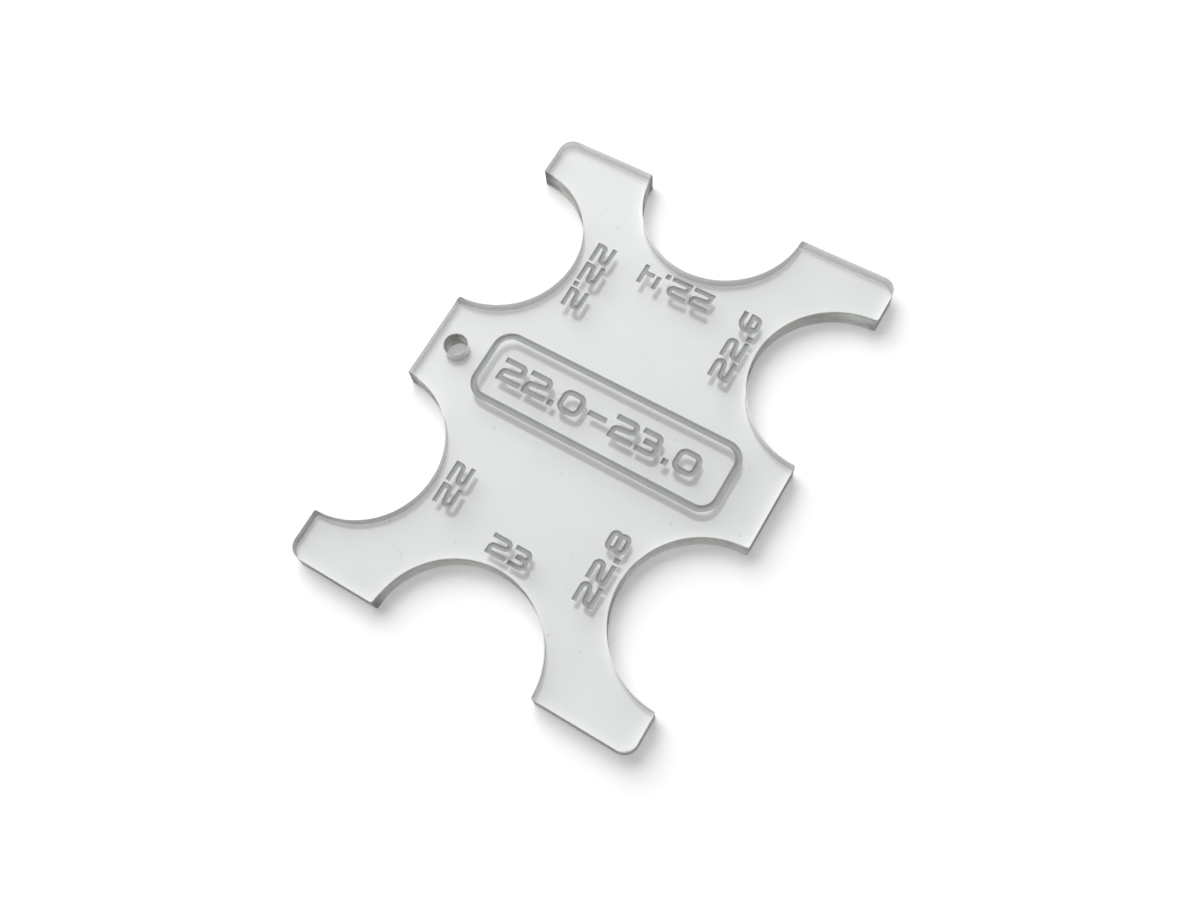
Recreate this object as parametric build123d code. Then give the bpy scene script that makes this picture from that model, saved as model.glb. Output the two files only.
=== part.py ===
from build123d import *
import os

# Tyre diameter gauge: one clear acrylic plate, laser-cut from sheet, with six half-round
# notches in its edges. Each notch is one tyre diameter. The plate lies flat with its engraved
# face up, +Y along the longer side, and its origin in the middle of the lower face.

# The sheet, in mm
plate_width = 50.0
plate_length = 70.0
plate_thickness = 3.0
corner_radius = 2.0

# The cut: the beam melts the lips a little and leaves the notch corners slightly blunt
lip_bevel = 0.12
notch_corner_radius = 0.3

# The notches: diameters rise in equal steps, clockwise from the lower left of the plate
smallest_diameter = 22.0
diameter_step = 0.2
side_notch_spacing = 35.0

# The hole for a cord or ring, on the middle line beside the left edge
hole_diameter = 3.2
hole_to_edge = 3.5

# The engraved frame, between the hole and the right edge
frame_to_hole = 2.75
frame_to_edge = 5.75
frame_height = 10.4
frame_rise = 0.1
frame_corner_radius = 2.7
frame_line_width = 0.9
engraving_depth = 0.25
engraving_wall_angle = 20.0

half_width = plate_width / 2
half_length = plate_length / 2
half_spacing = side_notch_spacing / 2

# Every notch is centred on an edge of the sheet, so what it leaves is an exact half circle
notch_centres = [
    (-half_width, -half_spacing),
    (-half_width, half_spacing),
    (0, half_length),
    (half_width, half_spacing),
    (half_width, -half_spacing),
    (0, -half_length),
]


def notch_radius(index):
    """Radius of a notch by its place in the series, counted from the smallest."""
    return (smallest_diameter + index * diameter_step) / 2


def cut_outline():
    """The flat shape that the laser cuts, with blunt corners where the notches meet the edges."""
    outline = RectangleRounded(plate_width, plate_length, corner_radius)
    for index, centre in enumerate(notch_centres):
        outline -= Pos(*centre) * Circle(notch_radius(index))
    notch_corners = [
        corner
        for corner in outline.vertices()
        for index, centre in enumerate(notch_centres)
        if abs((corner.center() - Vector(*centre)).length - notch_radius(index)) < 0.001
    ]
    return fillet(notch_corners, notch_corner_radius)


def hole_position():
    """Centre of the hanging hole on the plate's middle line."""
    return Pos(-half_width + hole_to_edge, 0)


def plate_blank():
    """The cut sheet with its hole, and with every lip of the two faces softened."""
    outline = cut_outline() - hole_position() * Circle(hole_diameter / 2)
    blank = extrude(outline, plate_thickness)
    faces_by_height = blank.faces().sort_by(Axis.Z)
    lips = faces_by_height[0].edges() + faces_by_height[-1].edges()
    return chamfer(lips, lip_bevel)


def engraved_frame():
    """The groove of the engraved frame: a rounded ring whose walls lean back from its floor."""
    left = -half_width + hole_to_edge + hole_diameter / 2 + frame_to_hole
    right = half_width - frame_to_edge
    place = Pos((left + right) / 2, frame_rise, plate_thickness)
    outer = RectangleRounded(right - left, frame_height, frame_corner_radius)
    inner = RectangleRounded(
        right - left - 2 * frame_line_width,
        frame_height - 2 * frame_line_width,
        frame_corner_radius - frame_line_width,
    )
    cut = extrude(outer, -engraving_depth, taper=engraving_wall_angle)
    island = extrude(inner, -engraving_depth, taper=-engraving_wall_angle)
    return place * (cut - island)


gauge_plate = plate_blank() - engraved_frame()

os.makedirs("parts", exist_ok=True)
export_step(gauge_plate, "parts/gauge_plate.step")
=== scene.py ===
import math

import bmesh
import bpy
from mathutils import Matrix, Vector


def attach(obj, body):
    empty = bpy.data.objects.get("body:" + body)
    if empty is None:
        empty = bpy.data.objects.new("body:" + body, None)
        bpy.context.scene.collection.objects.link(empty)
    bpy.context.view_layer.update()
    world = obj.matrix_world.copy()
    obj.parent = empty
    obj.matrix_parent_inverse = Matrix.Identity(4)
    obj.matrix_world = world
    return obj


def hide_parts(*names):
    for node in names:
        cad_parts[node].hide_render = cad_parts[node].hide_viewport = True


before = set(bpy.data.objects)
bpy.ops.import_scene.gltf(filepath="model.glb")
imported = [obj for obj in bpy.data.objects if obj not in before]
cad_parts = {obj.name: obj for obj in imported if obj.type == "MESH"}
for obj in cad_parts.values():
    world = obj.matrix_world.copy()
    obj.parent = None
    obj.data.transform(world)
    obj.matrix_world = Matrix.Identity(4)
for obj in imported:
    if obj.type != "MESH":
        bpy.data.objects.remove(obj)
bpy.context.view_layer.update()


# The camera. It looks down on the plate from beyond its lower right, turned so that the plate
# lies askew. The photograph was cropped off its lens axis, which the small shift repeats.

camera_place = Vector((0.03791, -0.04911, 0.14852))
camera_aim = Vector((-0.00796, -0.01028, 0.00300))
camera_roll = math.radians(-19.25)

camera_data = bpy.data.cameras.new("camera")
camera_data.sensor_width = 36.0
camera_data.lens = 36.93
camera_data.shift_x = 0.0826
camera_data.shift_y = 0.0029
camera_data.clip_start = 0.005
camera = bpy.data.objects.new("camera", camera_data)
camera.rotation_mode = "QUATERNION"
look = (camera_aim - camera_place).to_track_quat("-Z", "Y").to_matrix()
look = look @ Matrix.Rotation(camera_roll, 3, "Z")
camera.matrix_world = Matrix.Translation(camera_place) @ look.to_4x4()
bpy.context.collection.objects.link(camera)
bpy.context.scene.camera = camera
bpy.context.scene.view_settings.view_transform = "Standard"

# Light crosses many faces on its way through a clear plate.
bpy.context.scene.cycles.max_bounces = 24
bpy.context.scene.cycles.glossy_bounces = 12
bpy.context.scene.cycles.transmission_bounces = 16


# The floor. A wide sheet of smooth white board, a hair below the plate, which keeps the plate's
# soft shadow. Its white is lifted a little, in plain sight and where the clear plate shows it,
# and well away from the plate it grows to a full white.

floor_gap = 0.00003
floor_radius = 1.6
floor_sides = 96
board_colour = (0.93, 0.93, 0.93, 1.0)
board_lift = 0.125
whiter_from = 0.10
full_white_from = 0.25


def put_in_scene(name, shape):
    """Makes an object of a finished bmesh."""
    mesh = bpy.data.meshes.new(name)
    shape.to_mesh(mesh)
    shape.free()
    thing = bpy.data.objects.new(name, mesh)
    bpy.context.collection.objects.link(thing)
    return thing


def new_node(kind, inputs=None, **settings):
    """Adds a node to the current tree. Each input is a value or another node's output."""
    node = tree.nodes.new("ShaderNode" + kind)
    for name, setting in settings.items():
        setattr(node, name, setting)
    for place, part in (inputs or {}).items():
        if isinstance(part, bpy.types.NodeSocket):
            tree.links.new(part, node.inputs[place])
        else:
            node.inputs[place].default_value = part
    return node.outputs


def combine(operation, *parts):
    """Works out one number from others."""
    return new_node("Math", dict(enumerate(parts)), operation=operation)[0]


def between(value, low, high, at_low=0.0, at_high=1.0):
    """Goes evenly from at_low to at_high while the value goes from low to high."""
    ends = {"From Min": low, "From Max": high, "To Min": at_low, "To Max": at_high}
    return new_node("MapRange", {"Value": value, **ends})["Result"]


sheet = bmesh.new()
bmesh.ops.create_circle(sheet, cap_ends=True, segments=floor_sides, radius=floor_radius)
bmesh.ops.translate(sheet, verts=sheet.verts, vec=(0.0, 0.0, -floor_gap))
floor = put_in_scene("white_floor", sheet)

board = bpy.data.materials.new("white_board")
board.use_nodes = True
tree = board.node_tree
tree.nodes.clear()
spot = new_node("TexCoord")["Object"]
path = new_node("LightPath")
reach = new_node("VectorMath", {0: spot}, operation="LENGTH")["Value"]
far_white = between(reach, whiter_from, full_white_from, board_lift, 1.0)
seen_straight = combine("MULTIPLY", far_white, path["Is Camera Ray"])
seen_in_plate = combine("MAXIMUM", path["Is Glossy Ray"], path["Is Transmission Ray"])
lift = combine("MULTIPLY_ADD", seen_in_plate, board_lift, seen_straight)
matt = new_node("BsdfDiffuse", {"Color": board_colour})[0]
glow = new_node("Emission", {"Strength": lift})[0]
new_node("OutputMaterial", {"Surface": new_node("AddShader", {0: matt, 1: glow})[0]})
floor.data.materials.append(board)


# The light. One broad soft box stands to the upper left of the plate, and the pale room fills in
# from all round. The box itself isn't mirrored. The room's own glow near it shows instead.

box_size = 1.18
box_distance = 1.20
box_power = 19.2
room_level = 0.27
mirrored_room = 1.05
mirrored_glow = 2.3
glow_way = Vector((-0.50, 0.45, 0.74))
glow_edge = 0.905


def way_to_light(heading, tilt):
    """The way from the plate to a light, from its heading and its tilt off plumb in degrees."""
    heading, tilt = math.radians(heading), math.radians(tilt)
    level = math.sin(tilt)
    return Vector((level * math.cos(heading), level * math.sin(heading), math.cos(tilt)))


def hang_light(light_data, way, distance):
    """Hangs a light out along its way, facing the plate, where no mirror or glass shows it."""
    light = bpy.data.objects.new(light_data.name, light_data)
    facing_plate = way.to_track_quat("Z", "Y").to_matrix().to_4x4()
    light.matrix_world = Matrix.Translation(way * distance) @ facing_plate
    bpy.context.collection.objects.link(light)
    light.visible_glossy = light.visible_transmission = False
    return light


def blend(kind, share, first, second):
    """Mixes two values (FLOAT) or two colours (RGBA)."""
    first_place, second_place, result = {"FLOAT": (2, 3, 0), "RGBA": (6, 7, 2)}[kind]
    parts = {0: share, first_place: first, second_place: second}
    return new_node("Mix", parts, data_type=kind)[result]


box_data = bpy.data.lights.new("soft_box", "AREA")
box_data.shape = "SQUARE"
box_data.size = box_size
box_data.energy = box_power
box_way = way_to_light(heading=147.0, tilt=43.0)
hang_light(box_data, box_way, box_distance)

room = bpy.data.worlds.new("pale_room")
bpy.context.scene.world = room
room.use_nodes = True
tree = room.node_tree
path = new_node("LightPath")
room_way = new_node("TexCoord")["Generated"]
near_glow = new_node("VectorMath", {0: room_way, 1: glow_way}, operation="DOT_PRODUCT")["Value"]
mirrored = between(near_glow, glow_edge, 1.0, mirrored_room, mirrored_glow)
in_mirror = combine("MAXIMUM", path["Is Glossy Ray"], path["Is Transmission Ray"])
lit_or_mirrored = blend("FLOAT", in_mirror, room_level, mirrored)
seen_room = blend("FLOAT", path["Is Camera Ray"], lit_or_mirrored, 1.0)
room_glow = tree.nodes["Background"].inputs
room_glow["Color"].default_value = (1.0, 1.0, 1.0, 1.0)
tree.links.new(seen_room, room_glow["Strength"])


# The plate. One piece of clear cast acrylic, cut by laser from a 3 mm sheet. The beam leaves
# glossy walls with fine upright lines and lips that are melted round, and its corners are barely
# blunt. It is shaped in millimetres, and brought down to metres once it is engraved.

mm = 0.001
plate_width = 50.0
plate_length = 70.0
plate_thickness = 3.0
corner_radius = 2.0
corner_steps = 24
side_notch_spacing = 35.0
notch_steps = 224
notch_corner_radius = 0.3
notch_corner_steps = 8
hole_radius = 1.6
hole_steps = 96
hole_to_edge = 3.5
lip_radius = 0.12
foot_radius = 0.04
lip_steps = 4
cutter_overhang = 1.0
weld_distance = 1e-4
sharp_turn = math.radians(60.0)
flat = 0.999

# Each notch has its middle, its diameter, and the heading in degrees in which its number reads.
notches = (
    (-plate_width / 2, -side_notch_spacing / 2, 22.0, -90),
    (-plate_width / 2, side_notch_spacing / 2, 22.2, -90),
    (0.0, plate_length / 2, 22.4, 180),
    (plate_width / 2, side_notch_spacing / 2, 22.6, 90),
    (plate_width / 2, -side_notch_spacing / 2, 22.8, 90),
    (0.0, -plate_length / 2, 23.0, 0),
)


def cut_away(blank, cutter):
    """Cuts one object out of another, removes both and returns the result as a bmesh."""
    cut = blank.modifiers.new("cut", "BOOLEAN")
    cut.operation = "DIFFERENCE"
    cut.solver = "EXACT"
    cut.material_mode = "TRANSFER"
    cut.object = cutter
    depsgraph = bpy.context.evaluated_depsgraph_get()
    mesh = bpy.data.meshes.new_from_object(blank.evaluated_get(depsgraph), depsgraph=depsgraph)
    result = bmesh.new()
    result.from_mesh(mesh)
    for used in (blank, cutter):
        used_mesh = used.data
        bpy.data.objects.remove(used)
        bpy.data.meshes.remove(used_mesh)
    bpy.data.meshes.remove(mesh)
    return result


def sharp_edges(shape):
    """The edges of a shape where one face turns sharply into another."""
    joined = [e for e in shape.edges if len(e.link_faces) == 2]
    return [e for e in joined if e.calc_face_angle(0.0) > sharp_turn]


def is_level(edge):
    """Whether an edge lies in the upper or the lower face."""
    return abs(edge.verts[0].co.z - edge.verts[1].co.z) < weld_distance


def melt_round(shape, edges, radius, steps):
    """Rounds edges as the beam melts them."""
    bmesh.ops.bevel(
        shape, geom=edges, offset=radius, offset_type="OFFSET", segments=steps,
        profile=0.5, affect="EDGES", material=-1, clamp_overlap=True,
    )


blank = bmesh.new()
bmesh.ops.create_grid(blank, x_segments=1, y_segments=1, size=0.5)
bmesh.ops.scale(blank, verts=blank.verts, vec=(plate_width, plate_length, 1.0))
bmesh.ops.bevel(
    blank, geom=blank.verts[:], offset=corner_radius, offset_type="OFFSET",
    segments=corner_steps, profile=0.5, affect="VERTICES", material=-1,
)
raised = bmesh.ops.extrude_face_region(blank, geom=blank.faces[:])["geom"]
raised_corners = [g for g in raised if isinstance(g, bmesh.types.BMVert)]
bmesh.ops.translate(blank, verts=raised_corners, vec=(0.0, 0.0, plate_thickness))
bmesh.ops.recalc_face_normals(blank, faces=blank.faces)

cutters = bmesh.new()
hole_x = -plate_width / 2 + hole_to_edge
rounds = [(x, y, diameter / 2, notch_steps) for x, y, diameter, heading in notches]
rounds.append((hole_x, 0.0, hole_radius, hole_steps))
for x, y, radius, steps in rounds:
    bmesh.ops.create_cone(
        cutters, cap_ends=True, segments=steps, radius1=radius, radius2=radius,
        depth=plate_thickness + 2 * cutter_overhang,
        matrix=Matrix.Translation((x, y, plate_thickness / 2)),
    )
plate = cut_away(put_in_scene("blank", blank), put_in_scene("round_cutters", cutters))
bmesh.ops.remove_doubles(plate, verts=plate.verts, dist=weld_distance)

notch_corners = [e for e in sharp_edges(plate) if not is_level(e)]
notch_corner_spots = [e.verts[0].co.xy.copy() for e in notch_corners]
melt_round(plate, notch_corners, notch_corner_radius, notch_corner_steps)

# The lower face, before its edges are rounded, is the outline of the board under the plate.
patch = plate.copy()
not_lower = [f for f in patch.faces if f.normal.z > -flat]
bmesh.ops.delete(patch, geom=not_lower, context="FACES")

level_edges = [e for e in sharp_edges(plate) if is_level(e)]
lips = [e for e in level_edges if e.verts[0].co.z > plate_thickness / 2]
feet = [e for e in level_edges if e.verts[0].co.z < plate_thickness / 2]
melt_round(plate, lips, lip_radius, lip_steps)
melt_round(plate, feet, foot_radius, lip_steps)


# The engraving. The same beam, at low power, cut a rounded frame and the six diameters into the
# top face: shallow grooves with leaning walls and a frosted floor. Inside the frame stands the
# range that the plate covers.

frame_depth = 0.25
digit_depth = 0.18
wall_lean = math.radians(20.0)
groove_overhang = 0.10
bend_step = 7.5
closing_gap = 1e-3
stroke = 0.66
point_stroke = 0.76
digit_width = 2.88
digit_height = 2.85
digit_advance = 3.25
point_advance = 1.0


def pen_stroke(layer, place, x, y, heading, moves, width=stroke, depth=digit_depth):
    """One pass of the beam: a tapered section, swept along each run and round each bend."""
    half_floor = width / 2 - depth * math.tan(wall_lean)
    half_top = width / 2 + groove_overhang * math.tan(wall_lean)
    outline = (
        (half_floor, -depth), (-half_floor, -depth),
        (-half_top, groove_overhang), (half_top, groove_overhang),
    )
    way = math.radians(heading)
    pen = start = Vector((x, y, plate_thickness))
    turned = Matrix.Translation(start) @ Matrix.Rotation(way, 4, "Z")
    groove = bmesh.new()
    first = section = groove.faces.new([
        groove.verts.new(turned @ Vector((0.0, across, up))) for across, up in outline
    ])
    for size, turn in moves:
        whole_section = [section, *section.edges, *section.verts]
        ahead = Vector((math.cos(way), math.sin(way), 0.0))
        if turn == 0:
            moved = bmesh.ops.extrude_face_region(groove, geom=whole_section)["geom"]
            moved_corners = [g for g in moved if isinstance(g, bmesh.types.BMVert)]
            bmesh.ops.translate(groove, verts=moved_corners, vec=ahead * size)
            pen = pen + ahead * size
        else:
            angle = math.radians(turn)
            centre = pen + Vector((-ahead.y, ahead.x, 0.0)) * math.copysign(size, turn)
            moved = bmesh.ops.spin(
                groove, geom=whole_section, cent=centre, axis=(0.0, 0.0, 1.0), angle=angle,
                steps=max(3, round(abs(turn) / bend_step)), use_duplicate=False,
            )["geom_last"]
            pen = centre + Matrix.Rotation(angle, 3, "Z") @ (pen - centre)
            way = way + angle
        section = [g for g in moved if isinstance(g, bmesh.types.BMFace)][0]
    if (pen - start).length < closing_gap:
        bmesh.ops.delete(groove, geom=[first, section], context="FACES_ONLY")
        bmesh.ops.remove_doubles(groove, verts=groove.verts, dist=closing_gap)
    bmesh.ops.recalc_face_normals(groove, faces=groove.faces)
    bmesh.ops.transform(groove, matrix=place, verts=groove.verts)
    mesh = bpy.data.meshes.new("pen_stroke")
    groove.to_mesh(mesh)
    groove.free()
    layer.from_mesh(mesh)
    bpy.data.meshes.remove(mesh)


half = stroke / 2
high = digit_height - half
bowl = 0.52
upper_bowl = 0.54
lower_bowl = 0.56

# A sign's strokes, each with its start, its heading in degrees and its moves. A move is a run,
# with its length and no turn, or a bend, with its radius and how far it turns in degrees.
sign_strokes = {
    "0": (
        (1.44, high, 0, (
            (0.40, 0), (0.70, -90), (0.79, 0), (0.70, -90), (0.80, 0),
            (0.70, -90), (0.79, 0), (0.70, -90), (0.40, 0),
        )),
    ),
    "2": (
        (0.0, high, 0, ((2.03, 0), (bowl, -173), (1.40, 0), (0.42, 83), (0.88, 0))),
        (0.0, half, 0, ((digit_width, 0),)),
    ),
    "3": (
        (0.0, high, 0, ((1.62, 0), (upper_bowl, -180), (1.05, 0))),
        (0.0, half, 0, ((1.60, 0), (lower_bowl, 180), (1.03, 0))),
    ),
    "4": (
        (0.35, digit_height, -90, ((1.92, 0),)),
        (1.02, 1.15, 0, ((1.80, 0),)),
        (2.58, digit_height, -90, ((digit_height, 0),)),
    ),
    "6": (
        (2.80, high, 180, (
            (1.40, 0), (1.05, 90), (0.38, 0), (0.76, 90), (0.80, 0), (upper_bowl, 90), (0.82, 0),
        )),
        (2.80, 1.42, 180, ((1.55, 0), (bowl, 90), (0.35, 0))),
    ),
    "8": (
        (1.44, high, 0, ((0.55, 0), (upper_bowl, -180), (1.10, 0), (upper_bowl, -180), (0.55, 0))),
        (1.44, half, 0, ((0.55, 0), (lower_bowl, 180), (1.10, 0), (lower_bowl, 180), (0.55, 0))),
    ),
    ".": ((0.0, point_stroke / 2, 0, ((stroke, 0),)),),
    "-": ((0.3, 1.42, 0, ((2.2, 0),)),),
}

# Strokes that cross each other go into different layers, which are cut one after the other.
layers = (bmesh.new(), bmesh.new())


def engrave(text, left, place):
    """Engraves a number along its line, with its first sign at left."""
    for sign in text:
        sign_place = place @ Matrix.Translation((left, 0.0, 0.0))
        width, advance = (point_stroke, point_advance) if sign == "." else (stroke, digit_advance)
        for count, (x, y, heading, moves) in enumerate(sign_strokes[sign]):
            pen_stroke(layers[count % 2], sign_place, x, y, heading, moves, width)
        left += advance


# How far each number stands from its notch's middle, and where it starts along its line.
number_foot = 12.62
number_starts = (-3.70, -4.80, -5.25, -5.50, -4.65, -2.95)
for (x, y, diameter, heading), left in zip(notches, number_starts):
    turned = Matrix.Translation((x, y, 0.0)) @ Matrix.Rotation(math.radians(heading), 4, "Z")
    engrave(f"{diameter:g}", left, turned @ Matrix.Translation((0.0, number_foot, 0.0)))

frame_left, frame_right = -17.15, 19.25
frame_low, frame_high = -5.1, 5.3
frame_line = 0.9
frame_radius = 2.7
frame_long = (frame_right - frame_left - 2 * frame_radius, 0)
frame_short = (frame_high - frame_low - 2 * frame_radius, 0)
frame_bend = (frame_radius - frame_line / 2, 90)
pen_stroke(
    layers[0], Matrix.Identity(4), 0.0, frame_low + frame_line / 2, 0,
    (
        (frame_right - frame_radius, 0), frame_bend, frame_short, frame_bend,
        frame_long, frame_bend, frame_short, frame_bend, (-frame_left - frame_radius, 0),
    ),
    frame_line, frame_depth,
)

# The range is in the same digits, a size larger.
range_start = Matrix.Translation((-14.3, -1.61, 0.0))
range_size = Matrix.Diagonal((1.2, 1.2, 1.0, 1.0))
engrave("22.0-23.0", 0.0, range_start @ range_size)

# Each face has the number of its finish, which the cuts carry on, and then one mark for each
# finish but the first.
finish_names = ("as_cast", "melted_lip", "cut_wall", "engraved")
leaning = 0.05
for face in plate.faces:
    level = abs(face.normal.z)
    face.material_index = 0 if level > flat else 1 if level > leaning else 2
finishes = [bpy.data.materials.new(name) for name in finish_names]
for layer in layers:
    blank = put_in_scene("plate", plate)
    for finish in finishes:
        blank.data.materials.append(finish)
    cutter = put_in_scene("engraving", layer)
    cutter.data.materials.append(finishes[-1])
    plate = cut_away(blank, cutter)
bmesh.ops.remove_doubles(plate, verts=plate.verts, dist=weld_distance)
for number, name in enumerate(finish_names[1:], 1):
    mark = plate.faces.layers.float.new(name)
    for face in plate.faces:
        face[mark] = float(face.material_index == number)
for finish in finishes:
    bpy.data.materials.remove(finish)

# The walls are painted darker, as painted shade, in the notches, more near their corners and
# most on the left, and in the small hole. At the lower left they are painted darker through,
# as painted shade as well.
corner_reach = 4.0
corner_shade_left, corner_shade_right = 1.0, 0.65
notch_shade = 0.45
hole_shade = 0.58
hole_margin = 0.2
lower_left_shade_middle = Vector((-plate_width / 2, -31.0))
lower_left_shade_reach = 18.0

# Each face's share of the painted shade, and of the painted shade at the lower left.
painted_shade = plate.faces.layers.float.new("painted_shade")
lower_left_shade = plate.faces.layers.float.new("lower_left_shade")
for face in plate.faces:
    middle = face.calc_center_median().xy
    nearest, on_left = min(((middle - c).length, c.x < 0.0) for c in notch_corner_spots)
    in_hole = (middle - Vector((hole_x, 0.0))).length < hole_radius + hole_margin
    in_notch = any(
        (middle - Vector((x, y))).length < diameter / 2 + lip_radius
        for x, y, diameter, heading in notches
    )
    near_corner = max(0.0, 1.0 - nearest / corner_reach)
    near_corner *= corner_shade_left if on_left else corner_shade_right
    on_plain_wall = max(near_corner, notch_shade if in_notch else 0.0)
    face[painted_shade] = hole_shade if in_hole else on_plain_wall
    face[lower_left_shade] = max(0.0, 1.0 - (middle - lower_left_shade_middle).length / lower_left_shade_reach)
    face.material_index = 0
bmesh.ops.scale(plate, verts=plate.verts, vec=(mm, mm, mm))

# The acrylic: one clear material, which follows the marks on the faces.
clear = bpy.data.materials.new("clear_acrylic")
clear.use_nodes = True
tree = clear.node_tree
shade = tree.nodes["Principled BSDF"].inputs
shade["IOR"].default_value = 1.49
relief_depth = 0.01 * mm
no_relief = 0.5
spot = new_node("TexCoord")["Object"]
from_inside = new_node("NewGeometry")["Backfacing"]
slant = new_node("LayerWeight")["Facing"]
marks = {
    name: new_node("Attribute", attribute_name=name)["Fac"]
    for name in (*finish_names[1:], "painted_shade", "lower_left_shade")
}


def by_finish(kind, cast, lip, wall, engraved):
    """A value or colour that follows the four finishes of the plate."""
    result = cast
    for name, part in zip(finish_names[1:], (lip, wall, engraved)):
        result = blend(kind, marks[name], result, part)
    return result


def grains(size, stretch=1.0):
    """The piece's own coordinates, with size mm for one unit and stretch times that along z."""
    finer = (1 / (size * mm), 1 / (size * mm), 1 / (size * mm * stretch))
    return new_node("VectorMath", {0: spot, 1: finer}, operation="MULTIPLY")[0]


def clouds(size, stretch=1.0, detail=2.0, low=0.3, high=0.7):
    """Clouds of about size mm. They go from 0 to 1 while the noise goes from low to high."""
    inputs = {"Vector": grains(size, stretch), "Scale": 1.0, "Detail": detail}
    return between(new_node("TexNoise", inputs)["Fac"], low, high)


def distance(place):
    """How far a point of the piece is from a place, in mm."""
    return new_node("VectorMath", {0: grains(1.0), 1: place}, operation="DISTANCE")["Value"]


# The walls: upright lines from the beam, over patches where the melt ran thicker or thinner, with
# a shade that deepens towards the lip. Seen along its length a wall lets least light through and
# is painted darker, as painted shade. It is painted darker still in the painted-shade spots, and
# seen from inside it is painted dark, as shade.
line_width, line_stretch = 0.22, 9.0
patch_size, patch_stretch = 2.6, 0.5
shade_foot, shade_top, shade_strength = 0.5, 2.9, 0.40
shade_cloud_size = 0.9
heavy_shade_from, heavy_shade_full = 0.42, 0.90
darker_from, darkest_from = 0.80, 0.92
thin_melt = (0.56, 0.55, 0.52, 1.0)
thick_melt = (1.0, 1.0, 0.97, 1.0)
lip_shade = (0.22, 0.22, 0.20, 1.0)
deep_shade_colour = (0.12, 0.122, 0.115, 1.0)
wall_shade_from_inside = (0.16, 0.175, 0.165, 1.0)
thin_rough, thick_rough, inside_rough = 0.52, 0.32, 0.14
thin_clear, thick_clear, dark_clear = 0.50, 0.85, 0.40
unshaded_clear, shaded_clear, lower_left_shade_clear = 0.72, 0.50, 0.30
lines = clouds(line_width, line_stretch, detail=3.0)
patches = clouds(patch_size, patch_stretch, detail=3.0, low=0.36, high=0.64)
height = new_node("SeparateXYZ", {0: grains(1.0)})["Z"]
under_lip = between(height, shade_foot, shade_top, 0.0, shade_strength)
# Painted shade in patches, where the faces are marked for it.
patchy_shade = combine("MULTIPLY", marks["painted_shade"], clouds(shade_cloud_size, low=-0.6, high=0.45))
heavy_shade = between(patchy_shade, heavy_shade_from, heavy_shade_full)
# Painted shade where the faces are marked for it or where a wall is seen along its length.
dark = combine("MAXIMUM", heavy_shade, between(slant, darker_from, darkest_from))
wall_outside = blend("RGBA", patches, thin_melt, thick_melt)
wall_outside = blend("RGBA", under_lip, wall_outside, lip_shade)
wall_outside = blend("RGBA", dark, wall_outside, deep_shade_colour)
wall_colour = blend("RGBA", from_inside, wall_outside, wall_shade_from_inside)
outside_rough = blend("FLOAT", patches, thin_rough, thick_rough)
wall_rough = blend("FLOAT", from_inside, outside_rough, inside_rough)
outside_clear = blend("FLOAT", patches, thin_clear, thick_clear)
outside_clear = blend("FLOAT", dark, outside_clear, dark_clear)
inside_clear = blend("FLOAT", patchy_shade, unshaded_clear, shaded_clear)
# The lower left walls, seen from inside, show more of their painted shade.
inside_clear = blend("FLOAT", marks["lower_left_shade"], inside_clear, lower_left_shade_clear)
wall_clear = blend("FLOAT", from_inside, outside_clear, inside_clear)
wall_relief = blend("FLOAT", from_inside, lines, no_relief)

# The lips: clean, glossy melt, but painted dark, as shade, where the walls below are painted
# darkest.
clean_lip = (0.88, 0.90, 0.88, 1.0)
shaded_lip = (0.15, 0.15, 0.14, 1.0)
clean_lip_clear, shaded_lip_clear = 0.97, 0.50
clean_lip_rough, shaded_lip_rough = 0.08, 0.60
lip_colour = blend("RGBA", heavy_shade, clean_lip, shaded_lip)
lip_clear = blend("FLOAT", heavy_shade, clean_lip_clear, shaded_lip_clear)
lip_rough = blend("FLOAT", patchy_shade, clean_lip_rough, shaded_lip_rough)

# The cast faces: all but flawless, with a trace of cloud, a few specks and four hair scratches.
# A speck's core and edge are shares of the specks' spacing. Each scratch has its middle, its
# length, the radius of its bend, the heading in degrees of the bend's centre, and its strength.
deeper_cast = (0.845, 0.857, 0.848, 1.0)
paler_cast = (0.875, 0.887, 0.878, 1.0)
cast_cloud_size = 5.0
blemish_colour = (0.55, 0.56, 0.55, 1.0)
blemish_rough = 0.25
speck_spacing = 3.5
speck_core, speck_edge = 0.03, 0.08
speck_strength = 0.5
scratch_width = 0.03
scratches = (
    (-12.3, -27.6, 2.6, 1.4, -115, 0.9),
    (7.5, -19.0, 7.0, 60.0, 20, 0.35),
    (-5.5, 21.0, 6.0, 35.0, 100, 0.3),
    (16.5, 28.0, 4.0, 24.0, 215, 0.35),
)
off_speck = new_node("TexVoronoi", {"Vector": grains(speck_spacing), "Scale": 1.0})["Distance"]
blemish = between(off_speck, speck_edge, speck_core, 0.0, speck_strength)
for x, y, length, bend, heading, strength in scratches:
    middle = Vector((x, y, plate_thickness))
    heading = math.radians(heading)
    centre = middle + bend * Vector((math.cos(heading), math.sin(heading), 0.0))
    off_arc = combine("ABSOLUTE", combine("SUBTRACT", distance(centre), bend))
    along_arc = between(distance(middle), length / 2, length / 4)
    hair = combine("MULTIPLY", combine("LESS_THAN", off_arc, scratch_width), along_arc)
    blemish = combine("MAXIMUM", blemish, combine("MULTIPLY", hair, strength))
cast_colour = blend("RGBA", clouds(cast_cloud_size), deeper_cast, paler_cast)
cast_colour = blend("RGBA", blemish, cast_colour, blemish_colour)
cast_rough = combine("MULTIPLY", blemish, blemish_rough)

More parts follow.
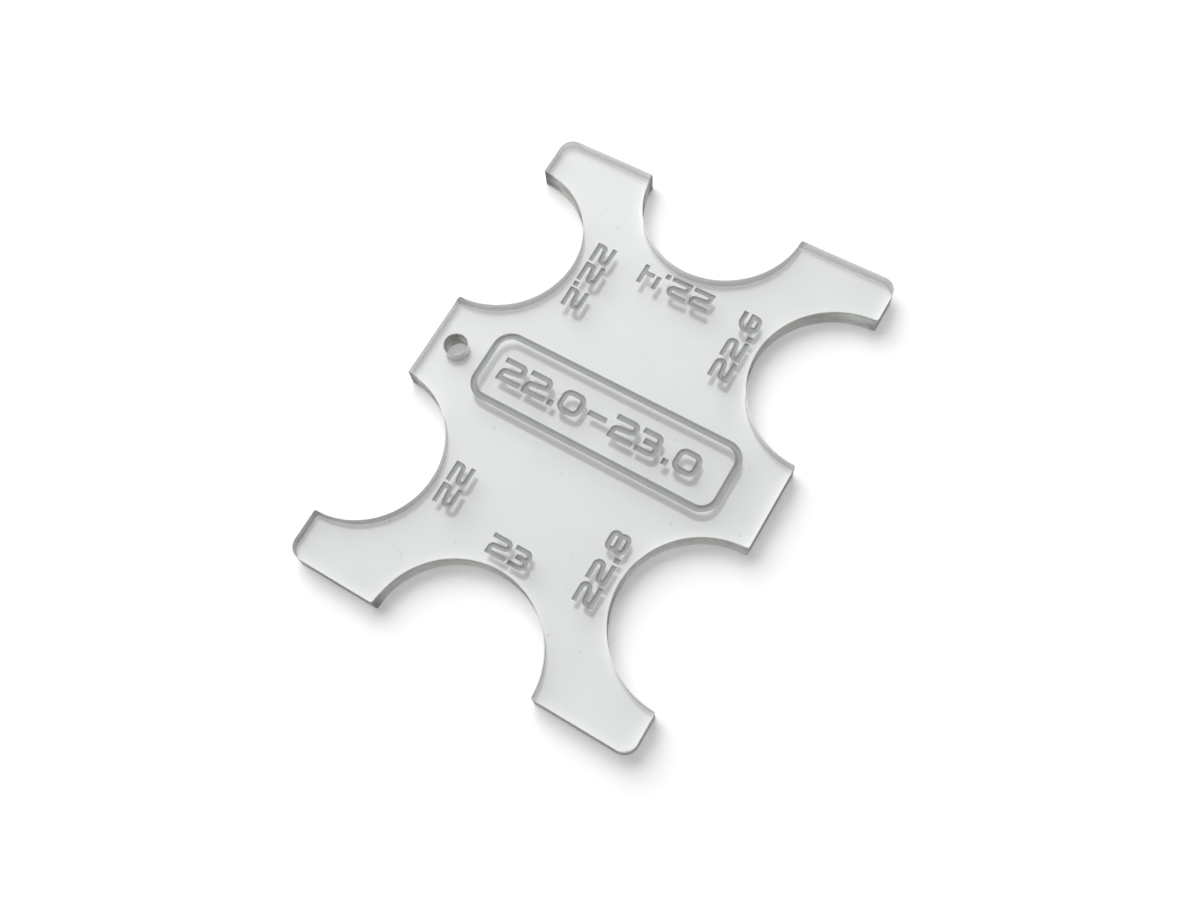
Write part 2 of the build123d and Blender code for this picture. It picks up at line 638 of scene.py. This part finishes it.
# The engraving: frosted, with a fine crumb.
crumb_size = 0.10
frost_dip = (0.26, 0.27, 0.26, 1.0)
frost_crumb = (0.35, 0.36, 0.35, 1.0)
frost_rough = 0.32
frost_clear = 0.25
frost = clouds(crumb_size, detail=1.0)
frost_colour = blend("RGBA", frost, frost_dip, frost_crumb)

relief_height = by_finish("FLOAT", no_relief, no_relief, wall_relief, frost)
relief = new_node("Bump", {"Height": relief_height, "Distance": relief_depth})[0]
for name, part in (
    ("Base Color", by_finish("RGBA", cast_colour, lip_colour, wall_colour, frost_colour)),
    ("Roughness", by_finish("FLOAT", cast_rough, lip_rough, wall_rough, frost_rough)),
    ("Transmission Weight", by_finish("FLOAT", 1.0, lip_clear, wall_clear, frost_clear)),
    ("Normal", relief),
):
    tree.links.new(part, shade[name])

# Light falls straight through the plate. Little of it leaves by a wall, and only what meets a
# wall squarely comes in there.
through_cast = (0.665, 0.67, 0.665, 1.0)
through_lip = (0.30, 0.30, 0.30, 1.0)
through_frost = (0.08, 0.08, 0.08, 1.0)
leaving = 0.19
squarely_to, aslant_from = 0.55, 0.80
entering_squarely = 0.65
entering_aslant = 0.18
past_shaded_spot = 0.35
entering = between(slant, squarely_to, aslant_from, entering_squarely, entering_aslant)
# Walls in the painted-shade spots let in less light as well.
entering = combine("MULTIPLY", entering, blend("FLOAT", patchy_shade, 1.0, past_shaded_spot))
through_wall = blend("FLOAT", from_inside, leaving, entering)
tint = by_finish("RGBA", through_cast, through_lip, through_wall, through_frost)
path = new_node("LightPath")
past_walls = combine("SUBTRACT", path["Is Diffuse Ray"], marks["cut_wall"])
for_light = combine("MAXIMUM", path["Is Shadow Ray"], past_walls)
acrylic = tree.nodes["Principled BSDF"].outputs[0]
falling_light = new_node("BsdfTransparent", {"Color": tint})[0]
either = new_node("MixShader", {0: for_light, 1: acrylic, 2: falling_light})[0]
tree.links.new(either, tree.nodes["Material Output"].inputs["Surface"])

acrylic_plate = put_in_scene("acrylic_plate", plate)
acrylic_plate.data.materials.append(clear)
acrylic_plate.data.shade_smooth()
even = acrylic_plate.modifiers.new("face_weighted_normals", "WEIGHTED_NORMAL")
even.weight = 90

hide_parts("gauge_plate")
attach(acrylic_plate, "root")


# The lamp. A small lamp higher up throws the engraving's crisp shadow through the plate. It is
# meant for the board under the plate alone, so that patch of board is a piece of its own, cut to
# the plate's outline.

lamp_spread = math.radians(7.0)
lamp_strength = 2.25

bmesh.ops.reverse_faces(patch, faces=patch.faces)
bmesh.ops.scale(patch, verts=patch.verts, vec=(mm, mm, 0.0))
bmesh.ops.translate(patch, verts=patch.verts, vec=(0.0, 0.0, -floor_gap / 3))
board_under_plate = put_in_scene("board_under_plate", patch)

# The walls turn the soft box's light down on the board, which shows as a pale rim along them:
# painted light, a glow that only the clear plate shows on the board. The rim fades with the depth
# from each notch and edge, and grows from walls that face the box to those that face away.
rim_depth = 0.6
painted_rim_light = 0.42
away = Vector((-box_way.x, -box_way.y, 0.0)).normalized()

under = board.copy()
under.name = "board_under_plate"
tree = under.node_tree
spot = new_node("TexCoord")["Object"]


def along(way, place):
    """How far a point of the board lies along a way from a place, in mm."""
    apart = new_node("VectorMath", {0: grains(1.0), 1: place}, operation="SUBTRACT")[0]
    return new_node("VectorMath", {0: apart, 1: way}, operation="DOT_PRODUCT")["Value"]


# Each rim has the depth from its wall, in mm, and its strength.
rims = [
    (along((-1.0, 0.0, 0.0), (plate_width / 2, 0.0, 0.0)), away.x),
    (along((0.0, 1.0, 0.0), (0.0, -plate_length / 2, 0.0)), -away.y),
    (along((0.0, -1.0, 0.0), (0.0, plate_length / 2, 0.0)), (1.0 + away.y) / 2),
]
for x, y, diameter, heading in notches:
    reach = distance((x, y, 0.0))
    facing = combine("DIVIDE", along(-away, (x, y, 0.0)), reach)
    rims.append((combine("SUBTRACT", reach, diameter / 2), between(facing, -1.0, 1.0)))
rim = 0.0
for depth, strength in rims:
    fading = combine("EXPONENT", combine("MULTIPLY", depth, -1.0 / rim_depth))
    rim = combine("MULTIPLY_ADD", fading, strength, rim)
in_plate = new_node("LightPath")["Is Transmission Ray"]
# Painted light: the rim glows only where the clear plate shows the board.
seen_painted_rim = combine("MULTIPLY", combine("MULTIPLY", rim, painted_rim_light), in_plate)
glow_strength = tree.nodes["Emission"].inputs["Strength"]
lift = glow_strength.links[0].from_socket
tree.links.new(combine("ADD", lift, seen_painted_rim), glow_strength)
board_under_plate.data.materials.append(under)

lamp_data = bpy.data.lights.new("lamp", "SUN")
lamp_data.angle = lamp_spread
lamp_data.energy = lamp_strength
lamp = hang_light(lamp_data, way_to_light(heading=131.0, tilt=11.4), distance=1.0)
lit_by_lamp = bpy.data.collections.new("lit_by_lamp")
lit_by_lamp.objects.link(board_under_plate)
lamp.light_linking.receiver_collection = lit_by_lamp
